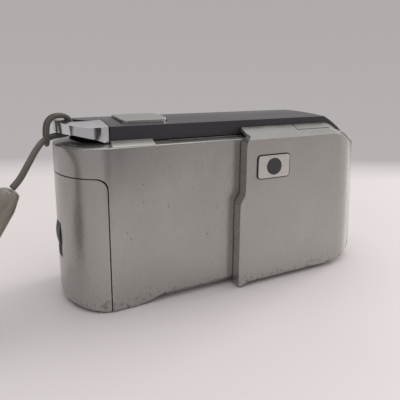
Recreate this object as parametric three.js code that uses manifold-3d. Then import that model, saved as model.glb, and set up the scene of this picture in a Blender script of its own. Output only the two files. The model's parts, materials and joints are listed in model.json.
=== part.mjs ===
// Compact digital camera with a sliding lens cover, a wrap-around battery door and a wrist strap.
// Millimetres. +X runs along the camera's width, -Y is the front with the lens, +Z is up.
// The origin is at the middle of the camera's bottom face.
import * as THREE from "three";
import { mergeVertices } from "three/addons/utils/BufferGeometryUtils.js";
import Module from "manifold-3d";

const wasm = await Module();
wasm.setup();

// ---------------------------------------------------------------- driving dimensions
const WIDTH = 104.5; // whole camera, end to end
const FRONT = -14.2; // flat front face of the body
const BACK = 17.4; // flat back face of the body
const COVER_FRONT = -17.9; // outer face of the sliding lens cover
const TOP = 51.4; // upper edge of the dark top cover at its front
const CROWN = 1.1; // how much the middle of the top cover stands above its edges
const SHOULDER = 46.3; // height at which the front face turns into the sloping shoulder
const LEDGE = 47; // height of the ledge the top cover stands on
const SETBACK = 3.1; // how far the top cover stands back from the front and back faces
const WALL = 1.8; // moulded wall
const END = 12; // length of the half-oval left end and of the rear right corner, seen from above
const BOW = 16.5; // length of the wider curve of the front right corner
const LEAN = 0.056; // slope of the right end, which narrows upwards
const GAP = 0.3; // clearance between neighbouring pieces
const SLIVER = 0.004; // the finest detail kept on a cut surface

const LEFT = -WIDTH / 2;
const RIGHT = WIDTH / 2;
const SPLIT = (FRONT + BACK) / 2; // plane where the front and back shells meet
const DOOR_EDGE = -41.4; // vertical seam of the battery door
const DOOR_TOP = 38.2; // horizontal seam of the battery door
const COVER_TRAVEL = 26; // how far the lens cover slides
const COVER_LEFT = -2.9; // left edge of the closed lens cover
const COVER_RIGHT = 44.8; // right edge of the closed lens cover
const LENS = { x: 31, z: 20 }; // lens axis

// ---------------------------------------------------------------- solids
// A closed geometry as a manifold-3d solid.
function solid(geometry) {
  const bare = geometry.index ? geometry.toNonIndexed() : geometry.clone();
  for (const name of Object.keys(bare.attributes)) {
    if (name !== "position") bare.deleteAttribute(name);
  }
  const merged = mergeVertices(bare, 1e-4);
  return new wasm.Manifold(
    new wasm.Mesh({
      numProp: 3,
      vertProperties: merged.attributes.position.array,
      triVerts: new Uint32Array(merged.index.array),
    }),
  );
}

// A solid back as a three.js geometry, without the slivers that cutting leaves.
function geometryOf(made) {
  const mesh = made.asOriginal().simplify(SLIVER).getMesh();
  const geometry = new THREE.BufferGeometry();
  geometry.setAttribute("position", new THREE.BufferAttribute(mesh.vertProperties, 3));
  geometry.setIndex(new THREE.BufferAttribute(mesh.triVerts, 1));
  return geometry.toNonIndexed();
}

// A box between two corners.
function box(x0, y0, z0, x1, y1, z1) {
  const geometry = new THREE.BoxGeometry(x1 - x0, y1 - y0, z1 - z0);
  geometry.translate((x0 + x1) / 2, (y0 + y1) / 2, (z0 + z1) / 2);
  return solid(geometry);
}

// Turns a geometry built along +Z so that it runs along another axis.
function along(geometry, axis) {
  const target = { x: [1, 0, 0], y: [0, 1, 0], z: [0, 0, 1] }[axis];
  const turn = new THREE.Quaternion().setFromUnitVectors(
    new THREE.Vector3(0, 0, 1),
    new THREE.Vector3(...target),
  );
  return geometry.applyQuaternion(turn);
}

// A round bar along an axis, from one end's centre over a length.
function rod(axis, x, y, z, radius, length, sides = 20) {
  const geometry = new THREE.CylinderGeometry(radius, radius, length, sides);
  geometry.rotateX(Math.PI / 2);
  geometry.translate(0, 0, length / 2);
  return solid(along(geometry, axis).translate(x, y, z));
}

// A solid of revolution from [radius, height] pairs, its axis along +Z before it is turned.
function turned(profile, axis, x, y, z, sides = 24) {
  const points = profile.map(([r, h]) => new THREE.Vector2(r, h));
  const geometry = new THREE.LatheGeometry(points, sides);
  geometry.rotateX(Math.PI / 2);
  return solid(along(geometry, axis).translate(x, y, z));
}

// A flat outline in X and Z, as a plate from y0 to y1.
function plateXZ(shape, y0, y1, curveSegments = 6) {
  const geometry = new THREE.ExtrudeGeometry(shape, {
    depth: y1 - y0,
    bevelEnabled: false,
    curveSegments,
  });
  geometry.rotateX(Math.PI / 2);
  return solid(geometry.translate(0, y1, 0));
}

// A flat outline in X and Y, as a plate from z0 to z1.
function plateXY(shape, z0, z1, curveSegments = 6) {
  const geometry = new THREE.ExtrudeGeometry(shape, {
    depth: z1 - z0,
    bevelEnabled: false,
    curveSegments,
  });
  return solid(geometry.translate(0, 0, z0));
}

// A flat outline in Y and Z, as a bar from x0 to x1.
function barYZ(shape, x0, x1, curveSegments = 6) {
  const geometry = new THREE.ExtrudeGeometry(shape, {
    depth: x1 - x0,
    bevelEnabled: false,
    curveSegments,
  });
  geometry.applyMatrix4(new THREE.Matrix4().set(0, 0, 1, 0, 1, 0, 0, 0, 0, 1, 0, 0, 0, 0, 0, 1));
  return solid(geometry.translate(x0, 0, 0));
}

// A rectangle with round corners, centred on (x, y).
function roundRect(x, y, width, height, radius) {
  const shape = new THREE.Shape();
  const [l, r, b, t] = [x - width / 2, x + width / 2, y - height / 2, y + height / 2];
  shape.moveTo(l + radius, b);
  shape.lineTo(r - radius, b);
  shape.absarc(r - radius, b + radius, radius, -Math.PI / 2, 0, false);
  shape.lineTo(r, t - radius);
  shape.absarc(r - radius, t - radius, radius, 0, Math.PI / 2, false);
  shape.lineTo(l + radius, t);
  shape.absarc(l + radius, t - radius, radius, Math.PI / 2, Math.PI, false);
  shape.lineTo(l, b + radius);
  shape.absarc(l + radius, b + radius, radius, Math.PI, Math.PI * 1.5, false);
  return shape;
}

// A shape through plain [x, y] corners.
function polygon(corners) {
  return new THREE.Shape(corners.map(([x, y]) => new THREE.Vector2(x, y)));
}

// A closed skin through rings of points, each ring with the same count, with flat ends.
function loft(rings) {
  const count = rings[0].length;
  const position = rings.flat(2);
  const index = [];
  for (let k = 0; k + 1 < rings.length; k += 1) {
    for (let i = 0; i < count; i += 1) {
      const j = (i + 1) % count;
      const [a, b] = [k * count + i, k * count + j];
      const [c, d] = [a + count, b + count];
      index.push(a, b, d, a, d, c);
    }
  }
  const last = (rings.length - 1) * count;
  const flat = (ring) => ring.map(([x, y]) => new THREE.Vector2(x, y));
  for (const [a, b, c] of THREE.ShapeUtils.triangulateShape(flat(rings[0]), [])) index.push(a, c, b);
  for (const [a, b, c] of THREE.ShapeUtils.triangulateShape(flat(rings.at(-1)), [])) {
    index.push(last + a, last + b, last + c);
  }
  const geometry = new THREE.BufferGeometry();
  geometry.setAttribute("position", new THREE.Float32BufferAttribute(position, 3));
  geometry.setIndex(index);
  return solid(geometry);
}

// ---------------------------------------------------------------- body outline
const OVAL_LEFT = LEFT + END; // centre of the half-oval left end
const LEAN_START = 24; // where along the width the lean begins
const LEAN_FOOT = 8; // height at which it adds nothing
const OVAL_RIGHT = RIGHT - END; // centre of the rear right corner
const BOW_RIGHT = RIGHT - BOW; // centre of the front right corner
const HALF_LEFT = (BACK - FRONT) / 2; // its half depth: it meets the front and back faces flush
const HALF_RIGHT = (BACK - COVER_FRONT) / 2; // the right end is flush with the lens cover
const MID_RIGHT = (BACK + COVER_FRONT) / 2;

// A point of the right end, inset by a distance, at an angle: below zero it is the front corner.
function rightPoint(inset, angle) {
  const [centre, length] = angle < 0 ? [BOW_RIGHT, BOW] : [OVAL_RIGHT, END];
  return [
    centre + (length - inset) * Math.cos(angle),
    MID_RIGHT + (HALF_RIGHT - inset) * Math.sin(angle),
  ];
}

// The angle at which the front right corner, inset by a distance, reaches a depth.
function bowAngle(inset, y) {
  return Math.asin((y - MID_RIGHT) / (HALF_RIGHT - inset));
}

// The body seen from above, inset by a distance, counter-clockwise from the front of the left end.
function outline(inset, leftSteps = 18, rightSteps = 7) {
  const points = [OVAL_LEFT, -34, -27].map((x) => [x, FRONT + inset]);
  const from = bowAngle(inset, FRONT + inset);
  for (let i = 0; i < rightSteps; i += 1) points.push(rightPoint(inset, from * (1 - i / rightSteps)));
  for (let i = 0; i <= rightSteps; i += 1) {
    points.push(rightPoint(inset, (Math.PI / 2) * (i / rightSteps)));
  }
  for (let i = 0; i < leftSteps; i += 1) {
    const angle = Math.PI / 2 + (Math.PI * i) / leftSteps;
    points.push([
      OVAL_LEFT + (END - inset) * Math.cos(angle),
      SPLIT + (HALF_LEFT - inset) * Math.sin(angle),
    ]);
  }
  return points;
}

// Radius of the rounded lower edge: nearly sharp under the front of the grip, round elsewhere, and
// roundest at the right end.
function footRadius(x, y) {
  const [sharp, round, soft] = [1, 3, 5];
  if (x > 20) return round + (soft - round) * THREE.MathUtils.smoothstep(x, 30, 42);
  if (y > SPLIT - 6) return round;
  const toRight = THREE.MathUtils.smoothstep(x, -34.5, -26.5);
  const toLeft = 1 - THREE.MathUtils.smoothstep(x, LEFT, -41);
  return sharp + (round - sharp) * Math.max(toRight, toLeft);
}

// A point of the outline at a height, moved by the lean of the right end.
function leaning([x, y], z) {
  const share = Math.max(x - LEAN_START, 0) / (RIGHT - LEAN_START);
  return [x - share * LEAN * (z - LEAN_FOOT), y, z];
}

// One ring of the body: each point of the outline moved inwards and up by its own amounts.
function ring(place) {
  const base = outline(0);
  return base.map(([x, y], i) => {
    const { inset, z } = place(x, y);
    return leaning(outline(inset)[i], z);
  });
}

// The whole body below the ledge, solid.
function bodySolid() {
  const rings = [];
  for (const part of [0, 1, 2, 3]) {
    const turn = (part / 3) * (Math.PI / 2);
    rings.push(
      ring((x, y) => {
        const r = footRadius(x, y);
        return { inset: r * (1 - Math.sin(turn)), z: r * (1 - Math.cos(turn)) };
      }),
    );
  }
  rings.push(ring(() => ({ inset: 0, z: SHOULDER - 0.5 })));
  rings.push(ring(() => ({ inset: 0.12, z: SHOULDER - 0.15 })));
  rings.push(ring(() => ({ inset: 0.5, z: SHOULDER + 0.1 })));
  rings.push(ring(() => ({ inset: SETBACK, z: LEDGE })));
  return loft(rings);
}

// An upright block over an outline, with the right end's lean.
function leaningBlock(points, z0, z1) {
  return loft([z0, z1].map((z) => points.map((point) => leaning(point, z))));
}

// A block over the whole body outline, inset by a distance.
const prism = (inset, z0, z1) => leaningBlock(outline(inset), z0, z1);

// The space inside the shells: a room with a narrower mouth below the top cover.
function roomSolid() {
  const groove = box(-34, FRONT, 0, RIGHT, FRONT + 4.2, 4.2);
  const room = prism(WALL, WALL, LEDGE - 2.4)
    .intersect(plateXZ(shellElevation(WALL), FRONT, BACK))
    .subtract(groove);
  return room.add(
    prism(SETBACK + 1.5, LEDGE - 3, LEDGE + 5).intersect(box(-60, FRONT, 0, 38, BACK, 60)),
  );
}

// ---------------------------------------------------------------- outlines seen from the front
const CORNER_START = 30.5; // where the top begins to curve down towards the right end
const CORNER_END = 32; // height at which that curve has become upright
const TAPER_END = 40.2; // height at which the dark top cover runs out on the right end
const FOOT = 8.5; // radius of the lower right corner
const FLANGE_TOP = 49.4; // height of the shoulder plane where it meets the top cover
const FLANGE_SLOPE = 0.47; // how fast the shoulder plane falls towards the front
const FLANGE_BACK = FRONT + SETBACK - GAP; // rear edge of whatever stands before the top cover

// The outer corner, from its level start to its upright end, inset by a distance.
function outerCorner(inset = 0, steps = 16, power = 1.4) {
  const points = [];
  for (let i = 0; i <= steps; i += 1) {
    const angle = (Math.PI / 2) * (i / steps);
    const across = RIGHT - inset - CORNER_START;
    const up = TOP + CROWN - inset - CORNER_END;
    points.push([
      CORNER_START + across * Math.max(Math.sin(angle), 0) ** (2 / power),
      CORNER_END + up * Math.max(Math.cos(angle), 0) ** (2 / power),
    ]);
  }
  return points;
}

// The line where the dark top cover and the silver shell meet round the right corner.
function seamCurve(steps = 14) {
  const curve = new THREE.QuadraticBezierCurve(
    new THREE.Vector2(CORNER_START + 3, FLANGE_TOP),
    new THREE.Vector2(38.2, 48.8),
    new THREE.Vector2(47.2, TAPER_END - 0.2),
  );
  return curve.getPoints(steps).map(({ x, y }) => [x, y]);
}

// Front view of everything the silver shells may fill, inset by a distance.
function shellElevation(inset = 0) {
  const arc = [];
  for (let i = 0; i <= 6; i += 1) {
    const angle = (Math.PI / 2) * (i / 6);
    const radius = FOOT - inset;
    arc.push([RIGHT - FOOT + radius * Math.sin(angle), FOOT - radius * Math.cos(angle)]);
  }
  const taper = TAPER_END - inset;
  const outer = outerCorner(inset).filter(([, z]) => z < taper).reverse();
  const seam = seamCurve()
    .map(([x, z]) => [x - 0.7 * inset, z - 0.7 * inset])
    .filter(([, z]) => z > taper)
    .reverse();
  return polygon([
    [LEFT - 5, -5],
    [RIGHT - FOOT, inset > 0 ? inset : -5],
    ...arc,
    ...outer,
    ...seam,
    [CORNER_START + 2, LEDGE + 9],
    [LEFT - 5, LEDGE + 9],
  ]);
}

// Front view of everything the dark top cover may fill.
function coverElevation() {
  const outer = outerCorner().filter(([, z]) => z > TAPER_END + 1).reverse();
  const seam = seamCurve()
    .filter(([, z]) => z < LEDGE && z > TAPER_END + 0.5)
    .map(([x, z]) => [x, z + GAP]);
  return polygon([
    [LEFT - 5, LEDGE + GAP],
    [seam[0][0] - 0.3, LEDGE + GAP],
    ...seam,
    ...outer,
    [LEFT - 5, TOP + CROWN],
  ]);
}

// Side view of the crowned top, lowered by a distance.
function crownProfile(drop) {
  const middle = (FRONT + BACK) / 2;
  const half = (BACK - FRONT) / 2 - SETBACK;
  const points = [];
  for (let i = 0; i <= 12; i += 1) {
    const share = (i / 12) * 2 - 1;
    points.push([middle + share * (half + 0.4), TOP - drop + CROWN * (1 - share * share)]);
  }
  return polygon([[middle - half - 5, 30], [middle + half + 5, 30], ...points.reverse()]);
}

// The shoulder plane's front view, sheared so that it falls towards the front.
function shoulderSolid() {
  const shape = polygon([[-60, -15], [RIGHT, -15], ...seamCurve().reverse(), [-60, FLANGE_TOP]]);
  const depth = 12;
  const geometry = new THREE.ExtrudeGeometry(shape, { depth, bevelEnabled: false });
  geometry.rotateX(Math.PI / 2);
  geometry.translate(0, FLANGE_BACK, 0);
  const shear = new THREE.Matrix4().set(
    1, 0, 0, 0,
    0, 1, 0, 0,
    0, FLANGE_SLOPE, 1, -FLANGE_SLOPE * FLANGE_BACK,
    0, 0, 0, 1,
  );
  return solid(geometry.applyMatrix4(shear));
}

// ---------------------------------------------------------------- assembly
const camera = new THREE.Group();

// Adds one named piece, with its own material.
function piece(name, made, color, roughness = 0.5, metalness = 0) {
  const material = new THREE.MeshStandardMaterial({ color, roughness, metalness });
  const mesh = new THREE.Mesh(geometryOf(made), material);
  mesh.name = name;
  camera.add(mesh);
}

const SILVER = [0x8f8a82, 0.38, 0.75];
const DARK = [0x2b292d, 0.42, 0.2];
const CHROME = [0xc9ccd0, 0.12, 1];
const BLACK = [0x17171a, 0.5, 0];
const STEEL = [0xb4b6b8, 0.3, 1];
const GLASS = [0x9fb3bf, 0.05, 0];
const BOARD = [0x1f5a38, 0.6, 0];
const BRASS = [0xb08d4c, 0.3, 1];

// ---------------------------------------------------------------- battery door
const HINGE = { x: DOOR_EDGE - 0.1, y: BACK - 1.3, radius: 1.3 }; // upright hinge line of the door
const HINGE_PIN = 0.5;
const DOOR_CORNER = 3;

// Front view of the door, its seam edges moved out by a distance.
function doorShape(grow) {
  const x = DOOR_EDGE - GAP / 2 + grow;
  const z = DOOR_TOP - GAP / 2 + grow;
  const shape = new THREE.Shape();
  shape.moveTo(LEFT - 5, -5);
  shape.lineTo(x, -5);
  shape.lineTo(x, z - DOOR_CORNER);
  shape.absarc(x - DOOR_CORNER, z - DOOR_CORNER, DOOR_CORNER, 0, Math.PI / 2, false);
  shape.lineTo(LEFT - 5, z);
  return shape;
}

const LATCH = { y: SPLIT, z: 15.8, width: 6, height: 7.8, depth: 1.1, travel: 2 };

// Wrap-around end cap that closes the battery and card bays.
function batteryDoor() {
  const skin = bodySolid()
    .intersect(plateXZ(doorShape(0), FRONT - 2, BACK + 2))
    .subtract(prism(WALL, WALL, DOOR_TOP + 5));
  const room = rod("z", HINGE.x, HINGE.y, -1, HINGE.radius + GAP, 5.9);
  const bead = rod("z", HINGE.x, HINGE.y, 4.9, HINGE.radius, DOOR_TOP - 0.3 - 4.9, 16);
  const bore = rod("z", HINGE.x, HINGE.y, -1, HINGE_PIN + GAP, DOOR_TOP + 5, 12);
  const pocket = box(
    LEFT - 1,
    LATCH.y - LATCH.width / 2 - GAP,
    LATCH.z - LATCH.travel - GAP,
    LEFT + LATCH.depth + 0.1,
    LATCH.y + LATCH.width / 2 + GAP,
    LATCH.z + LATCH.height + GAP,
  );
  // relief beside the bead, so that the skin folds back past the shell's edge
  const relief = box(HINGE.x - 1.5, HINGE.y + 1, -1, HINGE.x - 0.35, BACK + 1, DOOR_TOP);
  return skin.subtract(room).subtract(relief).add(bead).subtract(bore).subtract(pocket);
}

// Thumb latch: a flat slide with a lens-shaped grip that stands a little proud of the door.
function doorLatch() {
  const inner = LEFT + LATCH.depth - 0.1;
  const shape = new THREE.Shape();
  shape.moveTo(inner, LATCH.z);
  shape.lineTo(inner, LATCH.z + LATCH.height);
  shape.lineTo(LEFT + 0.35, LATCH.z + LATCH.height);
  shape.quadraticCurveTo(LEFT - 0.9, LATCH.z + LATCH.height / 2, LEFT + 0.35, LATCH.z);
  return plateXZ(shape, LATCH.y - LATCH.width / 2, LATCH.y + LATCH.width / 2, 8);
}

// ---------------------------------------------------------------- strap bracket
const BRACKET_EDGE = LEFT + 12.4; // where the bracket meets the top cover at the front
const BAR_WIDTH = 2.9; // bar that the strap goes round
const SLOT_Y = { from: 205, to: 132 }; // ends of the strap slot, as angles round the oval end

// A point of the oval left end, inset by a distance, at an angle in degrees.
function endPoint(inset, degrees) {
  const angle = THREE.MathUtils.degToRad(degrees);
  return [
    OVAL_LEFT + (END - inset) * Math.cos(angle),
    SPLIT + (HALF_LEFT - inset) * Math.sin(angle),
  ];
}

// The bracket's outer edge: flush with the top cover at the front and back, bulging to the left.
function bracketShape() {
  const points = [[BRACKET_EDGE, BACK - SETBACK]];
  for (let degrees = 90; degrees <= 270; degrees += 10) {
    const bulge = Math.min(Math.sin(THREE.MathUtils.degToRad(degrees - 90)) * 1.35, 1);
    points.push(endPoint(SETBACK - 2.6 * bulge, degrees));
  }
  points.push([BRACKET_EDGE, FRONT + SETBACK]);
  return polygon(points);
}

// The strap slot together with the tongue of the top cover behind it.
function bracketOpening() {
  const points = [[BRACKET_EDGE + 3, -0.6], [-43.9, -3.7]];
  for (let degrees = SLOT_Y.from; degrees >= SLOT_Y.to; degrees -= 12) {
    points.push(endPoint(0.5 + BAR_WIDTH, degrees));
  }
  points.push([-43, 11.6], [BRACKET_EDGE + 3, 11.6]);
  return polygon(points);
}

// The tongue of the top cover that fills the bracket's opening up to the strap slot.
function tongueShape() {
  return polygon([
    [BRACKET_EDGE + 1.5, -0.9],
    [-43.4, -2.9],
    [-46.3, 0.8],
    [-46.8, 4],
    [-46, 8.2],
    [-43, 11.2],
    [BRACKET_EDGE + 1.5, 11.2],
  ]);
}

// Chrome cap and bar at the top of the left end.
function strapBracket() {
  const underside = polygon([
    [LEFT - 5, 40],
    [BRACKET_EDGE + 5, 40],
    [BRACKET_EDGE + 5, LEDGE + GAP],
    [BRACKET_EDGE - 1.2, LEDGE + GAP],
    [-43.5, 48.3],
    [-48.4, 49.4],
    [LEFT - 5, 49.5],
  ]);
  return plateXY(bracketShape(), LEDGE + GAP, TOP + CROWN + 1)
    .intersect(barYZ(crownProfile(-0.05), LEFT - 2, BRACKET_EDGE + 2))
    .subtract(plateXY(bracketOpening(), 40, 60))
    .subtract(plateXZ(underside, FRONT - 5, BACK + 5));
}

// ---------------------------------------------------------------- shutter release
const SHUTTER = { x: -28.6, y: -2.1, width: 13.6, depth: 12.4, travel: 0.8 };

// Plan of the shutter button, grown by a distance.
function shutterShape(grow) {
  const { x, y, width, depth } = SHUTTER;
  return roundRect(x, y, width + 2 * grow, depth + 2 * grow, 2.2 + grow);
}

function shutterButton() {
  const cap = plateXY(shutterShape(0), 49.6, 60, 4).intersect(
    barYZ(crownProfile(-0.75), SHUTTER.x - 20, SHUTTER.x + 20),
  );
  const flange = plateXY(shutterShape(0.9), 48.4, 49.7, 3);
  const stem = rod("z", SHUTTER.x, SHUTTER.y, 45.2, 1.4, 3.4, 12);
  return cap.add(flange).add(stem);
}

// Compression spring round the button's stem.
function shutterSpring() {
  const [bottom, top, radius, turns] = [44.5, 48, 2.3, 3.5];
  const points = [];
  for (let i = 0; i <= turns * 10; i += 1) {
    const angle = (i / 10) * 2 * Math.PI;
    const share = i / (turns * 10);
    points.push(
      new THREE.Vector3(
        SHUTTER.x + radius * Math.cos(angle),
        SHUTTER.y + radius * Math.sin(angle),
        bottom + (top - bottom) * share,
      ),
    );
  }
  return tube(points, 0.25, 5, turns * 10);
}

// A round tube of a few sides through points.
function tube(points, radius, sides, steps) {
  const section = new THREE.Shape();
  for (let i = 0; i < sides; i += 1) {
    const angle = (i / sides) * 2 * Math.PI;
    const [x, y] = [radius * Math.cos(angle), radius * Math.sin(angle)];
    if (i === 0) section.moveTo(x, y);
    else section.lineTo(x, y);
  }
  section.closePath();
  const extrudePath = new THREE.CatmullRomCurve3(points);
  return solid(new THREE.ExtrudeGeometry(section, { steps, bevelEnabled: false, extrudePath }));
}

// ---------------------------------------------------------------- front openings
const FLASH = { x: 24.6, z: 37, width: 12, height: 6.6 };
const FINDER = { x: 38.6, z: 37, width: 6.6, height: 5.6 };
const LAMP = { x: 33, z: 37, radius: 1.1 };
const BEZEL = 11; // outer radius of the lens surround
const LCD = { x: 22, z: 19.4, width: 36, height: 26.4 };
const EYEPIECE = FINDER;
const PROUD = 0.9; // how far the keys and the eyepiece stand out of the back
const KEY_BOARD = { front: 11.4, back: 12.6 };
const RAIL = { y: -9.6, z: 42.7, radius: 0.8, from: -27.9, to: 19.8 };
const LUGS = [5.5, 14.5]; // middles of the carriage's two lugs
const LUG = { width: 3.6, front: -12.3, back: -11.5 };
const TRIPOD = { x: 14, y: 8, radius: 4.4, height: 6.2 };
const SCREWS = [
  ["screw_base_left", -30, 13.2],
  ["screw_base_right", 40, 10.6],
  ["screw_base_mid", 12, -7.4],
  ["screw_base_front", 38, -7.4],
];

// Back buttons: name, place, and width and height (round when they are equal).
const BUTTONS = [
  ["share_button", -13.6, 41, 6.4, 4],
  ["flash_button", -3.6, 41, 6.4, 4],
  ["left_button", -32.6, 25, 4.6, 9],
  ["menu_button", -24, 25, 8, 8],
  ["right_button", -15.4, 25, 4.6, 9],
  ["playback_button", -24, 12.4, 7.6, 4.6],
];
const ROCKER = { x: -29.4, z: 41, width: 14, height: 5 };
const BUTTON_TRAVEL = 0.4;

function buttonShape(x, z, width, height, grow) {
  const radius = Math.min(width, height) / 2 - 0.02;
  return roundRect(x, z, width + 2 * grow, height + 2 * grow, radius + grow);
}

const FLAP = { from: -4, to: 6.6, bottom: 12, top: 31, thickness: 1.5, bead: 0.9 };
const FLAP_HINGE = { x: 50.35, y: FLAP.to + 0.5 };

// ---------------------------------------------------------------- silver shells
// Both shells as one solid, before they are parted.
function shells() {
  const land = barYZ(
    polygon([[-13.9, 46.4], [-13.9, 45], [FLANGE_BACK, 45], [FLANGE_BACK, 47.75], [-13.7, 46.6]]),
    BRACKET_EDGE + 0.2,
    -28,
  );
  const tab = prism(0.12, 45, FLANGE_TOP + 1)
    .intersect(shoulderSolid())
    .intersect(box(20.3, FRONT, 44, RIGHT, FLANGE_BACK, 60));
  let made = bodySolid().intersect(plateXZ(shellElevation(), FRONT - 5, BACK + 5));
  made = made.add(land).add(tab).subtract(roomSolid());
  // floor of the upper left bay, above the battery door
  made = made.add(
    prism(1, DOOR_TOP + GAP / 2, DOOR_TOP + 1.6).intersect(
      box(LEFT, FRONT, 30, DOOR_EDGE + 2.4, BACK, 50),
    ),
  );
  made = made.add(rod("z", HINGE.x, HINGE.y, DOOR_TOP + 0.2, HINGE.radius, 3, 16));
  made = made.subtract(plateXZ(doorShape(GAP), FRONT - 2, BACK + 2));
  // lower hinge lug and the clearance round the door's bead
  made = made.subtract(
    rod("z", HINGE.x, HINGE.y, -1, HINGE.radius + 0.45, DOOR_TOP + 1 + GAP / 2, 20),
  );
  const lug = rod("z", HINGE.x, HINGE.y, 2.2, HINGE.radius, 2.4, 16);
  const neck = box(HINGE.x, HINGE.y - 1.25, 2.2, DOOR_EDGE + 3, HINGE.y + 1.1, 4.6);
  made = made.add(lug).add(neck);
  made = made.subtract(rod("z", HINGE.x, HINGE.y, 1.8, HINGE_PIN + GAP, 39, 12));
  return made;
}

// Boss, counterbore and pilot hole of one base screw.
function screwSeat(made, x, y) {
  return made
    .add(rod("z", x, y, WALL - 0.2, 1.9, 2.3, 12))
    .subtract(rod("z", x, y, -1, 2, 2.3, 12))
    .subtract(rod("z", x, y, 0, 1.1, 6, 10));
}

// Front view of the groove for the cover's lower tongue, open below and rising out of the foot.
function grooveShape() {
  return polygon([
    [-33.5, -1],
    [-33, 0.1],
    [-31.2, 0.4],
    [-29.2, 1.1],
    [-27.4, 2],
    [-26, 2.4],
    [RIGHT + 1, 2.4],
    [RIGHT + 1, -1],
  ]);
}

function frontShell(both) {
  let made = both.intersect(box(-60, FRONT - 5, -1, 60, SPLIT - GAP / 2, 60));
  const through = (shape) => plateXZ(shape, FRONT - 2, FRONT + WALL + 1, 4);
  made = made.subtract(rod("y", LENS.x, FRONT - 2, LENS.z, BEZEL + GAP, WALL + 3, 36));
  made = made.subtract(
    through(roundRect(FLASH.x, FLASH.z, FLASH.width + 0.6, FLASH.height + 0.6, 1.1)),
  );
  made = made.subtract(
    through(roundRect(FINDER.x, FINDER.z, FINDER.width + 0.6, FINDER.height + 0.6, 1.1)),
  );
  made = made.subtract(rod("y", LAMP.x, FRONT - 2, LAMP.z, LAMP.radius + GAP, WALL + 3, 14));
  // slot for the carriage lugs, in the ledge at the foot of the top cover
  const reach = LUG.width / 2 + GAP;
  made = made.subtract(
    box(
      LUGS[0] - COVER_TRAVEL - reach - 0.2,
      LUG.front - GAP,
      43,
      LUGS[1] + reach,
      LUG.back + GAP + 0.05,
      60,
    ),
  );
  made = made.subtract(plateXZ(grooveShape(), FRONT - 1, FRONT + 2.4));
  // two posts that hold the guide rod
  const post = (x) =>
    box(x - 0.9, FRONT + WALL - 0.2, RAIL.z - 1.6, x + 0.9, RAIL.y + 1.6, RAIL.z + 1.6);
  made = made.add(post(RAIL.from + 0.2)).add(post(RAIL.to - 0.2));
  made = made.subtract(
    rod("x", RAIL.from - 0.4, RAIL.y, RAIL.z, RAIL.radius + GAP, RAIL.to - RAIL.from + 0.8, 12),
  );
  for (const [, x, y] of SCREWS.slice(2)) made = screwSeat(made, x, y);
  return made.subtract(flapCut());
}

// The space the port flap and its bead take out of the shells.
function flapCut() {
  const { from, to, bottom, top, bead } = FLAP;
  const bay = box(48, from - GAP, bottom - GAP, 60, to + GAP, top + GAP);
  const round = rod("z", FLAP_HINGE.x, FLAP_HINGE.y, bottom - GAP, bead + GAP, top - bottom + 2 * GAP, 14);
  return bay.add(round);
}

function backShell(both) {
  let made = both.intersect(box(-60, SPLIT + GAP / 2, -1, 60, BACK + 5, 60));
  const through = (shape) => plateXZ(shape, BACK - WALL - 1, BACK + 2, 4);
  made = made.subtract(through(roundRect(LCD.x, LCD.z, LCD.width + 0.6, LCD.height + 0.6, 1.3)));
  made = made.subtract(
    through(roundRect(EYEPIECE.x, EYEPIECE.z, EYEPIECE.width + 0.6, EYEPIECE.height + 0.6, 1.3)),
  );
  for (const [, x, z, width, height] of BUTTONS) {
    made = made.subtract(through(buttonShape(x, z, width, height, GAP)));
  }
  made = made.subtract(through(buttonShape(ROCKER.x, ROCKER.z, ROCKER.width, ROCKER.height, 0.4)));
  made = made.subtract(rod("z", TRIPOD.x, TRIPOD.y, -1, TRIPOD.radius + GAP, 5, 24));
  for (const [, x, y] of SCREWS.slice(0, 2)) made = screwSeat(made, x, y);
  return made.subtract(flapCut());
}

// ---------------------------------------------------------------- top cover
function topCover() {
  const skin = (inset, drop) =>
    prism(inset, CORNER_END, 60).intersect(barYZ(crownProfile(drop), LEFT - 2, RIGHT + 2));
  let made = skin(SETBACK, 0).intersect(plateXZ(coverElevation(), FRONT, BACK));
  const inner = skin(SETBACK + 1.3, 1.3)
    .add(prism(SETBACK + 1.3, LEDGE - 1, LEDGE + 1))
    .intersect(plateXZ(innerCoverElevation(), FRONT, BACK));
  made = made.subtract(inner);
  const leftEnd = box(LEFT - 2, FRONT, 40, BRACKET_EDGE + GAP, BACK, 60);
  const tongue = plateXY(tongueShape(), 40, 60);
  made = made.subtract(leftEnd.subtract(tongue));
  // wall that closes the cover's left side, behind the bracket
  made = made.subtract(plateXY(shutterShape(GAP), 45, 60, 4));
  return made;
}

// Front view of the hollow below the top cover.
function innerCoverElevation() {
  const corner = outerCorner(1.4).filter(([, z]) => z > LEDGE - 1.5).reverse();
  return polygon([[LEFT + 3, LEDGE - 2], [36, LEDGE - 2], ...corner, [LEFT + 3, TOP + CROWN - 1]]);
}

// ---------------------------------------------------------------- sliding lens cover
const COVER = {
  skin: 1.2,
  bottom: 2.1,
  step: 1.75, // how far the upper part of the left edge stands to the right of the lower part
  stepLow: 26,
  stepHigh: 31,
  corner: 8, // lower right corner
  rise: 6,
  back: FRONT - GAP,
};

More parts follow.
